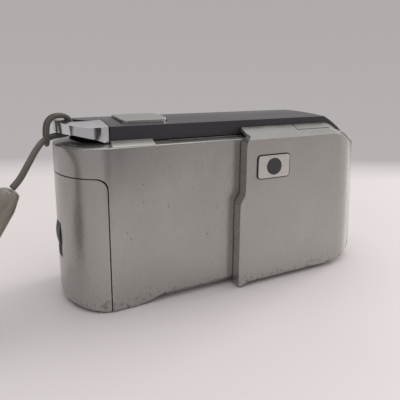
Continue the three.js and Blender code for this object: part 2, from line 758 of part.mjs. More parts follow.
// Front view of the lens cover.
function coverShape() {
  const upper = COVER_LEFT + COVER.step;
  const shape = new THREE.Shape();
  shape.moveTo(COVER_LEFT + 0.6, 0.7);
  shape.lineTo(COVER_LEFT + 1.8, 0.7);
  shape.bezierCurveTo(COVER_LEFT + 3, 0.9, COVER_LEFT + 3, COVER.bottom, COVER_LEFT + 4.6, COVER.bottom);
  shape.lineTo(COVER_RIGHT - COVER.corner, COVER.bottom);
  shape.absellipse(
    COVER_RIGHT - COVER.corner, COVER.bottom + COVER.rise, COVER.corner, COVER.rise,
    -Math.PI / 2, 0, false,
  );
  shape.lineTo(COVER_RIGHT, 60);
  shape.lineTo(upper + 2, 60);
  shape.lineTo(upper + 2, 46.9);
  shape.quadraticCurveTo(upper, 46.6, upper, 44.2);
  shape.lineTo(upper, COVER.stepHigh);
  shape.bezierCurveTo(upper, COVER.stepHigh - 2.4, COVER_LEFT, COVER.stepLow + 2.4, COVER_LEFT, COVER.stepLow);
  shape.lineTo(COVER_LEFT, 1.5);
  shape.quadraticCurveTo(COVER_LEFT, 0.7, COVER_LEFT + 0.6, 0.7);
  return shape;
}

// Plan of the cover's outer face, or of a face lying behind it by a distance.
function coverPlan(behind) {
  const points = [[COVER_LEFT - 4, COVER_FRONT + behind]];
  const to = bowAngle(behind, COVER.back);
  for (let i = 0; i <= 8; i += 1) {
    const angle = -Math.PI / 2 + ((to + Math.PI / 2) * i) / 8;
    points.push(rightPoint(behind, angle));
  }
  points.push([points.at(-1)[0], COVER.back + 3], [COVER_LEFT - 4, COVER.back + 3]);
  return points;
}

function lensCover() {
  const before = box(-60, -40, -1, 60, COVER.back, 60);
  const block = leaningBlock(coverPlan(0), 0.5, 50)
    .intersect(plateXZ(coverShape(), -30, 0, 5))
    .intersect(shoulderSolid())
    .intersect(before);
  const hollow = leaningBlock(coverPlan(COVER.skin), COVER.bottom + 1.2, 60)
    .intersect(box(COVER_LEFT + COVER.step + 1.2, -40, 0, 60, 0, 60))
    .intersect(shoulderSolid().translate(0, 0, -1.1));
  // flange that runs up the shoulder to the top cover, left of the shell's tab
  const flange = shoulderSolid()
    .subtract(shoulderSolid().translate(0, 0, -1.1))
    .intersect(box(0.5, COVER.back - 0.4, 44, 20, FLANGE_BACK - 0.05, 60));
  // tongue that rides in the groove under the front
  const tongue = box(0.5, COVER_FRONT + 0.6, COVER.bottom - 0.9, 33, FRONT + 2, COVER.bottom + 0.02)
    .intersect(box(-60, -40, 1.2, 60, 0, 2.11));
  return block.subtract(hollow).add(flange).add(tongue);
}

// Carriage inside the shell: a runner on the guide rod with two lugs up to the cover's flange.
function coverCarriage() {
  const runner = box(2.6, -12.05, RAIL.z - 1.5, 17.4, RAIL.y + 1.7, RAIL.z + 1.5);
  const bore = rod("x", 0, RAIL.y, RAIL.z, RAIL.radius + GAP, 22, 12);
  let made = runner.subtract(bore);
  for (const x of LUGS) {
    const half = LUG.width / 2;
    made = made.add(box(x - half, LUG.front, RAIL.z, x + half, LUG.back, 47.55));
  }
  return made;
}


// ---------------------------------------------------------------- badge on the lens cover
const BADGE = { x: 8.5, z: 37.9, width: 11.4, height: 6.9, thickness: 0.4, disc: 2.6 };

function badgePlate() {
  const { x, z, width, height, thickness } = BADGE;
  const front = COVER_FRONT - thickness - 0.05;
  return plateXZ(roundRect(x, z, width, height, 1), front, COVER_FRONT - 0.05, 5);
}

function badgeDisc() {
  const { x, z, thickness, disc } = BADGE;
  return rod("y", x, COVER_FRONT - thickness - 0.3, z, disc, 0.2, 24);
}

// ---------------------------------------------------------------- lens
// Ring with a stepped mouth that frames the lens, held by a flange behind the front wall.
function lensBezel() {
  const back = 3.1;
  const profile = [
    [9.6, 0], [BEZEL, 0], [BEZEL, 2.1], [BEZEL + 0.8, 2.1], [BEZEL + 0.8, back],
    [7.6, back], [7.6, 1.7], [8.4, 1.7], [8.4, 0.9], [9.6, 0],
  ];
  return turned(profile, "y", LENS.x, FRONT, LENS.z, 40);
}

function lensBarrel() {
  const profile = [
    [5.4, 0], [9, 0], [9, 12], [6.4, 12], [6.4, 9.5], [4.6, 9.5], [4.6, 1.4], [5.4, 1.4], [5.4, 0],
  ];
  return turned(profile, "y", LENS.x, FRONT + 3.4, LENS.z, 32);
}

// Front element, bulging forwards.
function lensGlass() {
  const profile = [[0, -0.9]];
  for (let i = 1; i <= 5; i += 1) {
    const r = (4.9 * i) / 5;
    profile.push([r, -0.9 + 1.1 * (r / 4.9) ** 2]);
  }
  profile.push([4.9, 1], [0, 1]);
  return turned(profile, "y", LENS.x, FRONT + 3.5, LENS.z, 28);
}

const imageSensor = () => box(LENS.x - 5, 3, LENS.z - 4, LENS.x + 5, 5, LENS.z + 4);

// ---------------------------------------------------------------- flash and viewfinder
function flashWindow() {
  return plateXZ(roundRect(FLASH.x, FLASH.z, FLASH.width, FLASH.height, 0.8), FRONT, FRONT + 1.4);
}

// Trough behind the flash window, open at the front.
function flashReflector() {
  const y = FRONT + WALL + 0.3;
  const outer = box(FLASH.x - 5.6, y, FLASH.z - 3.4, FLASH.x + 5.6, y + 4.6, FLASH.z + 3.4);
  return outer.subtract(
    box(FLASH.x - 5, y - 1, FLASH.z - 2.8, FLASH.x + 5, y + 4, FLASH.z + 2.8),
  );
}

const flashTube = () => rod("x", FLASH.x - 4.6, FRONT + WALL + 2.9, FLASH.z, 0.8, 9.2, 12);

function viewfinderWindow() {
  const { x, z, width, height } = FINDER;
  return plateXZ(roundRect(x, z, width, height, 0.8), FRONT, FRONT + 1.4);
}

function viewfinderTunnel() {
  const { x, z } = FINDER;
  const [y0, y1] = [FRONT + WALL + 0.3, BACK - WALL - 0.3];
  return box(x - 3.2, y0, z - 2.7, x + 3.2, y1, z + 2.7).subtract(
    box(x - 2.5, y0 - 1, z - 2, x + 2.5, y1 + 1, z + 2),
  );
}

// Raised frame round the rear lens of the viewfinder.
function viewfinderEyepiece() {
  const { x, z, width, height } = EYEPIECE;
  const frame = plateXZ(roundRect(x, z, width, height, 1), BACK - 1.5, BACK + PROUD);
  return frame.subtract(plateXZ(roundRect(x, z, width - 2, height - 2, 0.7), BACK - 0.3, BACK + 2));
}

const timerLamp = () => rod("y", LAMP.x, FRONT, LAMP.z, LAMP.radius, 2.6, 14);

// ---------------------------------------------------------------- screen and keys
const lcdWindow = () =>
  plateXZ(roundRect(LCD.x, LCD.z, LCD.width, LCD.height, 1), BACK - 1.4, BACK);

function lcdPanel() {
  const { x, z, width, height } = LCD;
  const [w, h] = [width / 2 - 1, height / 2 - 0.8];
  return box(x - w, 11.2, z - h, x + w, BACK - WALL - 0.3, z + h);
}

// A captive key: cap through the wall, wider flange behind it and a short stem to the key board.
function backButton(x, z, width, height) {
  const inner = BACK - WALL;
  return plateXZ(buttonShape(x, z, width, height, 0), inner - 0.6, BACK + PROUD, 5)
    .add(plateXZ(buttonShape(x, z, width, height, 0.7), inner - 1.2, inner - 0.3, 4))
    .add(rod("y", x, KEY_BOARD.back + BUTTON_TRAVEL + 0.1, z, 0.9, 1.6, 8));
}

function zoomRocker() {
  const { x, z, width, height } = ROCKER;
  const inner = BACK - WALL;
  return plateXZ(buttonShape(x, z, width, height, 0), inner - 1.4, BACK + PROUD - 0.1, 5).add(
    plateXZ(buttonShape(x, z, width, height, 0.6), inner - 2, inner - 1.1, 4),
  );
}

// ---------------------------------------------------------------- inside
const keyBoard = () => box(-39, KEY_BOARD.front, 4.3, 2, KEY_BOARD.back, 44.2);
const mainBoard = () => box(6, 6.6, 8, 46, 7.8, 33.5);
const chassisPlate = () => box(-39, 10.5, 3, 3, 11.1, 44.2);
const flashCapacitor = () => rod("x", -24, 2.2, 39.6, 4, 28, 20);
const guideRod = () => rod("x", RAIL.from, RAIL.y, RAIL.z, RAIL.radius, RAIL.to - RAIL.from, 12);
const doorPin = () => rod("z", HINGE.x, HINGE.y, 2.4, HINGE_PIN, 38, 10);

const CELL = { radius: 7.25, length: 50.5, x: 2.1, heights: [10.6, 26] };

// Tray with a bore for each cell, open at the door.
function batteryBox() {
  let made = box(DOOR_EDGE - 0.8, SPLIT - 8.5, 2.1, 4, SPLIT + 8.5, 34.5);
  for (const z of CELL.heights) {
    made = made.subtract(rod("x", -60, SPLIT, z, CELL.radius + 0.25, 60 + CELL.x + 1.1, 28));
  }
  return made.subtract(box(-60, SPLIT - 4, CELL.heights[0], CELL.x + 1.1, SPLIT + 4, CELL.heights[1]));
}

// One AA cell with its raised cap; the cells lie opposite ways round.
function battery(z, capInside) {
  const { radius, length, x } = CELL;
  const profile = [
    [0, 0], [radius, 0], [radius, length - 1.2], [2.75, length - 1.2], [2.75, length], [0, length],
  ];
  const cell = turned(profile, "x", 0, 0, 0, 24);
  return capInside
    ? cell.translate(x - length, SPLIT, z)
    : cell.rotate(0, 0, 180).translate(x, SPLIT, z);
}

const batteryContact = () => box(CELL.x + 0.3, SPLIT - 3, 6.5, CELL.x + 0.7, SPLIT + 3, 30);

function doorContact() {
  return box(LEFT + 2.45, SPLIT - 3.6, 6, LEFT + 2.95, SPLIT + 3.6, 30.6);
}

const SLOT = { left: -40, right: -9, front: -12.1, back: -7.3, bottom: 4.6, top: 30.4 };

function cardSocket() {
  const { left, right, front, back, bottom, top } = SLOT;
  const opening = box(left - 1, front + 1, bottom + 0.7, right - 1.6, back - 1, top - 0.7);
  return box(left, front, bottom, right, back, top).subtract(opening);
}

// Memory card with its clipped corner.
function memoryCard() {
  const { front, back, bottom, top } = SLOT;
  const middle = (front + back) / 2;
  const [l, r, b, t] = [-43, -11, bottom + 1, top - 1];
  const shape = polygon([[l, b], [r, b], [r, t - 3.5], [r - 3.5, t], [l, t]]);
  return plateXZ(shape, middle - 1.05, middle + 1.05);
}

function shutterSwitch() {
  const { x, y } = SHUTTER;
  return box(x - 3, y - 3, 36.5, x + 3, y + 3, 43.4).add(rod("z", x, y, 43.3, 1, 0.7, 10));
}

// Threaded brass bush for a tripod, with a flange inside the floor.
function tripodBush() {
  const { x, y, radius, height } = TRIPOD;
  const profile = [
    [3.1, 0.1], [radius, 0.1], [radius, 2.1], [radius + 1.6, 2.1], [radius + 1.6, 3.3],
    [radius, 3.3], [radius, height], [3.1, height], [3.1, 0.1],
  ];
  return turned(profile, "z", x, y, 0, 28);
}

// Countersunk base screw with a cross recess.
function baseScrew(x, y) {
  const profile = [[0, 0.4], [1.7, 0.4], [1.7, 1], [0.8, 1], [0.8, 3.5], [0, 3.5]];
  const cross = box(x - 1.1, y - 0.25, 0, x + 1.1, y + 0.25, 0.75)
    .add(box(x - 0.25, y - 1.1, 0, x + 0.25, y + 1.1, 0.75));
  return turned(profile, "z", x, y, 0, 16).subtract(cross);
}

// ---------------------------------------------------------------- connector bay
function portFlap() {
  const { from, to, bottom, top, thickness, bead } = FLAP;
  const skin = bodySolid()
    .intersect(box(45, from, bottom, 60, to, top))
    .subtract(prism(thickness, -1, 60));
  return skin.add(rod("z", FLAP_HINGE.x, FLAP_HINGE.y, bottom, bead, top - bottom, 14));
}

// Block behind the flap with two connector mouths.
function portBlock() {
  const { from, to, bottom, top } = FLAP;
  const block = box(43.5, from + 0.4, bottom + 0.4, 48.6, to - 1.1, top - 0.4);
  const middle = (from + to) / 2;
  return block
    .subtract(box(44.5, middle - 2.4, 22.6, 49, middle + 2.4, 29))
    .subtract(rod("x", 44.5, middle, 16.8, 2.7, 5, 18));
}

function usbSocket() {
  const middle = (FLAP.from + FLAP.to) / 2;
  return box(44.8, middle - 2.1, 22.9, 48.6, middle + 2.1, 28.7).subtract(
    box(45.6, middle - 1.6, 23.4, 49, middle + 1.6, 28.2),
  );
}

// ---------------------------------------------------------------- wrist strap
const TETHER = 1.3; // diameter of the thin cord round the bar
const CORD = 3.2; // diameter of the wrist cord
const CONNECTOR = { radius: 3.2, length: 15.7, tilt: 31.3, x: -64.2, y: -10.8, z: 37.2 };
const COIL = { x: -118, y: -6, radius: 17.6, start: -60 };

// A point beside the connector's axis, at a distance below its top.
function connectorPoint(distance, dx, dy) {
  const tilt = THREE.MathUtils.degToRad(CONNECTOR.tilt);
  return [
    CONNECTOR.x - distance * Math.sin(tilt) + dx,
    CONNECTOR.y + dy,
    CONNECTOR.z - distance * Math.cos(tilt),
  ];
}

// The tether's middle line from the connector to the bar and round it to the knot's bight,
// with how far its two strands lie to each side of it in x and y.
const TETHER_ROUTE = [
  [-62, -9.3, 39.4, 0.1, -0.72],
  [-59.6, -6.5, 42.4, 0.1, -0.72],
  [-56.9, -2.6, 45.5, 0.1, -0.72],
  [-54.4, 0.9, 47.25, 0.1, -0.75],
  [-52, 1.4, 48.1, 0.1, -0.95],
  [-50.1, 1.4, 48.35, 0, -1.15],
  [-48.3, 1.4, 48.75, 0, -1.2],
  [-47.4, 1.4, 50.2, 0, -1.25],
  [-47.4, 1.4, 51.9, 0, -1.3],
  [-48.4, 1.4, 53.35, 0, -1.4],
  [-50.4, 1.4, 53.7, 0, -1.5],
  [-52.3, 1.4, 53.15, 0, -1.65],
  [-53.4, 1.4, 51.8, 0, -1.9],
  [-53.8, 1.4, 50.2, 0, -2.2],
  [-53.9, 1.4, 48.6, 0, -2.4],
  [-53.9, 1.4, 47, 0, -2],
  [-53.9, 1.4, 45.9, 0, 0],
];

// The whole tether: one strand out, and the other back.
function tetherPoints() {
  const strand = (side) => [
    connectorPoint(-0.6, side * 0.1, side * -0.72),
    ...TETHER_ROUTE.map(([x, y, z, dx, dy]) => [x + side * dx, y + side * dy, z]),
  ];
  return [...strand(1), ...strand(-1).slice(0, -1).reverse()];
}

// One leg of the wrist cord, from the connector's foot down to the coil: x, the distance from the
// middle between the legs, z, and how far that middle has moved over to the coil's.
const LEG_ROUTE = [
  [-75.3, -1.8, 20, 0],
  [-78.3, -1.85, 15.1, 0.04],
  [-81.6, -2, 10.2, 0.12],
  [-85.6, -2.5, 5.6, 0.28],
  [-90.4, -3.7, 2.75, 0.52],
  [-95.6, -5.6, 1.8, 0.78],
  [-100.6, -8.3, 1.75, 0.95],
];

// Where a leg meets the coil, a distance before it touches.
function coilTangent(before, side) {
  const angle = THREE.MathUtils.degToRad(COIL.start);
  return [
    COIL.x + COIL.radius * Math.cos(angle) - before * Math.sin(angle),
    COIL.y + side * (COIL.radius * Math.sin(angle) + before * Math.cos(angle)),
  ];
}

const toVectors = (points) => points.map((p) => new THREE.Vector3(...p));

function wristLeg(side) {
  const [tx, ty] = coilTangent(1, side);
  const [mx, my] = coilTangent(6, side);
  const layer = side > 0 ? 1.75 : 5;
  const middle = (over) => CONNECTOR.y + over * (COIL.y - CONNECTOR.y);
  const points = [
    connectorPoint(CONNECTOR.length + 0.4, 0, -side * 1.75),
    ...LEG_ROUTE.map(([x, aside, z, over]) => [x, middle(over) + side * aside, z]),
    [mx, my, (layer + 1.75) / 2],
    [tx, ty, layer],
  ];
  const coil = rod("z", COIL.x, COIL.y, -1, COIL.radius + CORD / 2 + 0.45, 12, 48);
  return tube(toVectors(points), CORD / 2, 8, 18).subtract(coil);
}

// Outer shape of the coiled wrist cord: two layers of one turn.
function wristCoil() {
  const [inner, outer] = [COIL.radius - CORD / 2 - 0.1, COIL.radius + CORD / 2 + 0.1];
  const top = 2 * CORD + 0.3;
  const profile = [
    [inner + 0.8, 0.1], [outer - 0.8, 0.1], [outer, 0.9], [outer, top - 0.8], [outer - 0.8, top],
    [inner + 0.8, top], [inner, top - 0.8], [inner, 0.9], [inner + 0.8, 0.1],
  ];
  return turned(profile, "z", COIL.x, COIL.y, 0, 40);
}

// Moulded sleeve that joins the tether to the wrist cord.
function strapConnector() {
  const { radius, length, tilt, x, y, z } = CONNECTOR;
  const profile = [
    [0, 0], [1.5, 0], [2.4, 0.5], [radius - 0.35, 2.6], [radius, 4.4], [radius, length - 2.4],
    [radius - 0.5, length - 0.7], [radius - 1.2, length], [0, length],
  ];
  const sleeve = turned(profile, "z", 0, 0, 0, 28);
  return sleeve.rotate(0, 180 + tilt, 0).translate(x, y, z);
}

// ---------------------------------------------------------------- pieces
const both = shells();
piece("front_shell", frontShell(both), ...SILVER);
piece("back_shell", backShell(both), ...SILVER);
piece("top_cover", topCover(), ...DARK);
piece("strap_bracket", strapBracket(), ...CHROME);
piece("battery_door", batteryDoor(), ...SILVER);
piece("door_latch", doorLatch(), ...BLACK);
piece("door_pin", doorPin(), ...STEEL);
piece("door_contact", doorContact(), ...BRASS);
piece("shutter_button", shutterButton(), ...SILVER);
piece("shutter_spring", shutterSpring(), ...STEEL);
piece("shutter_switch", shutterSwitch(), ...BLACK);
piece("lens_cover", lensCover(), ...SILVER);
piece("cover_carriage", coverCarriage(), ...BLACK);
piece("guide_rod", guideRod(), ...STEEL);
piece("badge_plate", badgePlate(), ...STEEL);
piece("badge_disc", badgeDisc(), ...DARK);
piece("lens_bezel", lensBezel(), ...BLACK);
piece("lens_barrel", lensBarrel(), ...BLACK);
piece("lens_glass", lensGlass(), ...GLASS);
piece("image_sensor", imageSensor(), ...BLACK);
piece("flash_window", flashWindow(), ...GLASS);
piece("flash_reflector", flashReflector(), ...CHROME);
piece("flash_tube", flashTube(), ...GLASS);
piece("flash_capacitor", flashCapacitor(), ...BLACK);
piece("viewfinder_window", viewfinderWindow(), ...GLASS);
piece("viewfinder_tunnel", viewfinderTunnel(), ...BLACK);
piece("viewfinder_eyepiece", viewfinderEyepiece(), ...BLACK);
piece("timer_lamp", timerLamp(), 0xb3301e, 0.2);
piece("lcd_window", lcdWindow(), ...GLASS);
piece("lcd_panel", lcdPanel(), ...BLACK);
for (const [name, x, z, width, height] of BUTTONS) {
  piece(name, backButton(x, z, width, height), ...SILVER);
}
piece("zoom_rocker", zoomRocker(), ...SILVER);
piece("key_board", keyBoard(), ...BOARD);
piece("main_board", mainBoard(), ...BOARD);
piece("chassis_plate", chassisPlate(), ...STEEL);
piece("battery_box", batteryBox(), ...BLACK);
CELL.heights.forEach((z, i) => piece(`battery_${i + 1}`, battery(z, i === 0), 0x2f3f63, 0.35, 0.4));
piece("battery_contact", batteryContact(), ...BRASS);
piece("card_socket", cardSocket(), ...BLACK);
piece("memory_card", memoryCard(), 0x2a3a5c, 0.5);
piece("tripod_bush", tripodBush(), ...BRASS);
for (const [name, x, y] of SCREWS) piece(name, baseScrew(x, y), ...STEEL);
piece("port_flap", portFlap(), ...SILVER);
piece("port_block", portBlock(), ...BLACK);
piece("usb_socket", usbSocket(), ...STEEL);
piece("strap_tether", tube(toVectors(tetherPoints()), TETHER / 2, 8, 78), 0x4b463c, 0.8);
piece("strap_connector", strapConnector(), 0x78706a, 0.25);
piece("wrist_cord_in", wristLeg(1), 0x4b463c, 0.8);
piece("wrist_cord_out", wristLeg(-1), 0x4b463c, 0.8);
piece("wrist_coil", wristCoil(), 0x4b463c, 0.8);

export default camera;
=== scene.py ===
"""Looks of a compact digital camera with a sliding lens cover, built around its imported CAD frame."""

import json
import math

import bmesh
import bpy
from mathutils import Matrix, Vector


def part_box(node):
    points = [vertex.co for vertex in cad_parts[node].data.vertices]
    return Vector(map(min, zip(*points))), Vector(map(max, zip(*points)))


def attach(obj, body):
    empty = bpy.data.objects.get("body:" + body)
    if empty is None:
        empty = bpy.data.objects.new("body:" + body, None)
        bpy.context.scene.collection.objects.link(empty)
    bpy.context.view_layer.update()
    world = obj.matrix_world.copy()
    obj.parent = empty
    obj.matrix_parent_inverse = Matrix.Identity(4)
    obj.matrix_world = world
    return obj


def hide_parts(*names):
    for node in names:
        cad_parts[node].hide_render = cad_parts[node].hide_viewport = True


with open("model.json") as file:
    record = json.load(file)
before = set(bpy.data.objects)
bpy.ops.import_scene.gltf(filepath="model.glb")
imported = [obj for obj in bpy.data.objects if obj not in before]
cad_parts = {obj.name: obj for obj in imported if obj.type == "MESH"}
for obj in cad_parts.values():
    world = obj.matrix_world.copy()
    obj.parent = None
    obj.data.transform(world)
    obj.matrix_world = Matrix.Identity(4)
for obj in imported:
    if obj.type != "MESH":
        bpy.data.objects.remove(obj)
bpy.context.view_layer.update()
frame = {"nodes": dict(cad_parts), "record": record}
NODES = frame["nodes"]
MM = 0.001

# ---------------------------------------------------------------- camera
EYE = Vector((-68.5, -120.6, 65.4)) * MM
YAW = math.radians(27.25)  # to the right of +Y
PITCH = math.radians(11.66)  # downwards
ROLL = math.radians(0.46)


def make_camera():
    data = bpy.data.cameras.new("studio_camera")
    data.sensor_width = 36
    data.lens = 38.33
    data.shift_x = -0.0076
    data.shift_y = -0.0977
    data.clip_start = 0.005
    data.clip_end = 20
    camera = bpy.data.objects.new("studio_camera", data)
    right = Vector((math.cos(YAW), -math.sin(YAW), 0))
    ahead = Vector((math.sin(YAW), math.cos(YAW), 0))
    up = Vector((0, 0, 1))
    view = ahead * math.cos(PITCH) - up * math.sin(PITCH)
    top = up * math.cos(PITCH) + ahead * math.sin(PITCH)
    x_axis = right * math.cos(ROLL) + top * math.sin(ROLL)
    y_axis = top * math.cos(ROLL) - right * math.sin(ROLL)
    turn = Matrix((x_axis, y_axis, -view)).transposed().to_4x4()
    camera.matrix_world = Matrix.Translation(EYE) @ turn
    bpy.context.scene.collection.objects.link(camera)
    bpy.context.scene.camera = camera


make_camera()

# ---------------------------------------------------------------- materials


class Look:
    """One procedural material: a Principled shader with textures in the part's own millimetres."""

    def __init__(self, name, **sockets):
        self.material = bpy.data.materials.new(name)
        self.material.use_nodes = True
        self.tree = self.material.node_tree
        self.shader = self.tree.nodes["Principled BSDF"]
        self.place = self.node("ShaderNodeTexCoord").outputs["Object"]
        self.normal = None
        for socket, value in sockets.items():
            self.shader.inputs[socket.replace("_", " ")].default_value = value

    def node(self, kind, inputs=None, **settings):
        made = self.tree.nodes.new(kind)
        for key, value in settings.items():
            setattr(made, key, value)
        for key, value in (inputs or {}).items():
            if isinstance(value, bpy.types.NodeSocket):
                self.tree.links.new(value, made.inputs[key])
            else:
                made.inputs[key].default_value = value
        return made

    def grain(self, size, detail=2.0, stretch=(1, 1, 1), turn=(0, 0, 0)):
        """Noise of a size in millimetres, from 0 to 1, stretched and turned."""
        scale = [1000 / (size * s) for s in stretch]
        mapping = self.node(
            "ShaderNodeMapping", {"Vector": self.place, "Scale": scale, "Rotation": turn}
        )
        inputs = {"Vector": mapping.outputs[0], "Scale": 1.0, "Detail": detail}
        return self.node("ShaderNodeTexNoise", inputs).outputs[0]

    def ramp(self, value, low, high, start=0.0, end=1.0):
        """value's share of the way from low to high, clamped, mapped to start..end."""
        inputs = {0: value, 1: low, 2: high, 3: start, 4: end}
        return self.node("ShaderNodeMapRange", inputs, clamp=True).outputs[0]

    def maths(self, operation, a, b=0.0):
        return self.node("ShaderNodeMath", {0: a, 1: b}, operation=operation).outputs[0]

    def blend(self, factor, a, b):
        """Colour a at factor 0 and b at factor 1."""
        mix = self.node("ShaderNodeMix", data_type="RGBA")
        for socket, value in ((0, factor), (6, a), (7, b)):
            if isinstance(value, bpy.types.NodeSocket):
                self.tree.links.new(value, mix.inputs[socket])
            elif socket == 0:
                mix.inputs[socket].default_value = value
            else:
                mix.inputs[socket].default_value = (*value, 1)
        return mix.outputs[2]

    def set(self, socket, value):
        self.tree.links.new(value, self.shader.inputs[socket])

    def bump(self, height, depth):
        """Adds relief of a depth in millimetres."""
        inputs = {"Height": height, "Distance": depth * MM, "Strength": 1.0}
        if self.normal is not None:
            inputs["Normal"] = self.normal
        self.normal = self.node("ShaderNodeBump", inputs).outputs[0]
        self.set("Normal", self.normal)

    def axis(self, index):
        """The part's own x, y or z, in metres."""
        return self.node("ShaderNodeSeparateXYZ", {0: self.place}).outputs[index]


def silver_paint():
    """Worn metallic lacquer: fine flakes, faint smears, short dark scratches, scuffed lower edges."""
    look = Look("silver_lacquer", Metallic=0.78, Roughness=0.28, Coat_Weight=0.25, Coat_Roughness=0.2)
    cloud = look.grain(26, 3)
    flakes = look.grain(0.12, 1)
    smear = look.grain(7, 4, (1, 1, 3))
    base = look.blend(look.ramp(cloud, 0.35, 0.65), (0.375, 0.365, 0.345), (0.415, 0.405, 0.385))
    base = look.blend(look.ramp(flakes, 0.5, 0.75, 0, 0.35), base, (0.58, 0.575, 0.56))
    scratch = look.ramp(look.grain(1.7, 3, (0.35, 0.6, 4), (0.5, 0.35, 0.9)), 0.715, 0.75)
    patches = look.ramp(look.grain(13, 2), 0.54, 0.62)
    specks = look.ramp(look.grain(0.9, 1), 0.775, 0.80)
    marks = look.maths("MAXIMUM", look.maths("MULTIPLY", scratch, patches), specks)
    low = look.ramp(look.axis(2), 0.0, 0.006, 1, 0)
    scuffs = look.maths("MULTIPLY", look.ramp(look.grain(1.3, 4), 0.56, 0.64), low)
    marks = look.maths("MAXIMUM", marks, look.maths("MULTIPLY", scuffs, 0.8))
    base = look.blend(look.maths("MULTIPLY", marks, 0.85), base, (0.045, 0.042, 0.04))
    look.set("Base Color", base)
    look.set("Roughness", look.ramp(smear, 0.3, 0.7, 0.22, 0.33))
    look.bump(flakes, 0.005)
    look.bump(look.grain(1.8, 2), 0.002)
    look.bump(marks, -0.02)
    return look.material


def dark_paint():
    """Anthracite pearl lacquer: fine flakes and a little dust."""
    look = Look("anthracite_lacquer", Metallic=0.3, Roughness=0.36, Coat_Weight=0.15, Coat_Roughness=0.16)
    flakes = look.grain(0.14, 1)
    cloud = look.grain(18, 3)
    base = look.blend(look.ramp(cloud, 0.3, 0.7), (0.036, 0.034, 0.040), (0.043, 0.041, 0.047))
    base = look.blend(look.ramp(flakes, 0.52, 0.78, 0, 0.4), base, (0.11, 0.108, 0.12))
    dust = look.ramp(look.grain(0.5, 1), 0.77, 0.8, 0, 0.4)
    look.set("Base Color", look.blend(dust, base, (0.3, 0.29, 0.28)))
    look.set("Roughness", look.ramp(look.grain(9, 4, (3, 1, 1)), 0.3, 0.7, 0.31, 0.4))
    look.bump(flakes, 0.006)
    look.bump(look.grain(2.2, 2), 0.008)
    return look.material


def chrome_trim():
    look = Look("polished_chrome", Metallic=1.0, Roughness=0.1)
    haze = look.grain(5, 4, (1, 3, 1))
    base = look.blend(look.ramp(haze, 0.35, 0.7), (0.72, 0.73, 0.76), (0.62, 0.62, 0.64))
    pits = look.ramp(look.grain(0.5, 2), 0.72, 0.78)
    look.set("Base Color", look.blend(look.maths("MULTIPLY", pits, 0.5), base, (0.2, 0.19, 0.18)))
    look.set("Roughness", look.ramp(haze, 0.3, 0.7, 0.07, 0.2))
    look.bump(look.grain(2.5, 2), 0.008)
    look.bump(pits, -0.01)
    return look.material


def satin_metal():
    look = Look("brushed_badge", Metallic=0.95, Roughness=0.32)
    lines = look.grain(0.16, 3, (30, 1, 1))
    look.set("Base Color", look.blend(lines, (0.5, 0.49, 0.46), (0.68, 0.67, 0.64)))
    look.set("Roughness", look.ramp(lines, 0.3, 0.7, 0.26, 0.42))
    look.bump(lines, 0.006)
    return look.material


def steel():
    look = Look("machined_steel", Metallic=1.0, Roughness=0.3)
    lines = look.grain(0.2, 3, (1, 1, 12))
    stain = look.grain(6, 4)
    base = look.blend(look.ramp(stain, 0.4, 0.7), (0.55, 0.55, 0.56), (0.42, 0.41, 0.4))
    look.set("Base Color", look.blend(look.maths("MULTIPLY", lines, 0.4), base, (0.7, 0.7, 0.71)))
    look.set("Roughness", look.ramp(lines, 0.3, 0.7, 0.22, 0.4))
    look.bump(lines, 0.005)
    return look.material


def brass():
    look = Look("plated_brass", Metallic=1.0, Roughness=0.3)
    stain = look.grain(3, 5)
    look.set("Base Color", look.blend(look.ramp(stain, 0.4, 0.7), (0.72, 0.52, 0.22), (0.4, 0.27, 0.12)))
    look.set("Roughness", look.ramp(stain, 0.3, 0.7, 0.22, 0.45))
    look.bump(look.grain(0.5, 3), 0.008)
    return look.material


def black_plastic():
    look = Look("black_moulding", Roughness=0.48)
    cloud = look.grain(8, 4)
    base = look.blend(look.ramp(cloud, 0.35, 0.7), (0.011, 0.011, 0.012), (0.022, 0.021, 0.022))
    dust = look.ramp(look.grain(0.4, 1), 0.74, 0.8, 0, 0.3)
    look.set("Base Color", look.blend(dust, base, (0.16, 0.155, 0.15)))
    look.set("Roughness", look.ramp(cloud, 0.3, 0.7, 0.4, 0.58))
    look.bump(look.grain(0.25, 2), 0.02)
    return look.material


def grey_gloss():
    """Smooth elastomer of the strap's sleeve, a little yellowed and polished by handling."""
    look = Look("sleeve_gloss", Roughness=0.2, Coat_Weight=0.5, Coat_Roughness=0.08)
    cloud = look.grain(7, 4)
    base = look.blend(look.ramp(cloud, 0.3, 0.7), (0.20, 0.18, 0.15), (0.27, 0.245, 0.20))
    grime = look.ramp(look.grain(1.2, 3), 0.6, 0.7, 0, 0.45)
    look.set("Base Color", look.blend(grime, base, (0.1, 0.088, 0.07)))
    look.set("Roughness", look.ramp(look.grain(2.4, 4), 0.3, 0.7, 0.16, 0.32))
    look.bump(look.grain(1.5, 2), 0.01)
    return look.material


def clear_glass():
    look = Look("clear_window", Roughness=0.03, IOR=1.5, Transmission_Weight=0.92)
    look.set("Base Color", look.blend(look.grain(5, 3), (0.90, 0.93, 0.94), (0.98, 0.99, 1.0)))
    look.set("Roughness", look.ramp(look.grain(4, 4), 0.45, 0.7, 0.02, 0.09))
    look.bump(look.grain(3, 2), 0.003)
    return look.material


def red_lens():
    look = Look("red_lamp_lens", Roughness=0.08, IOR=1.49, Transmission_Weight=0.5)
    look.set("Base Color", look.blend(look.grain(0.6, 2), (0.62, 0.03, 0.02), (0.42, 0.012, 0.01)))
    look.set("Roughness", look.ramp(look.grain(0.4, 2), 0.3, 0.7, 0.05, 0.16))
    look.bump(look.grain(0.4, 1), 0.02)
    return look.material


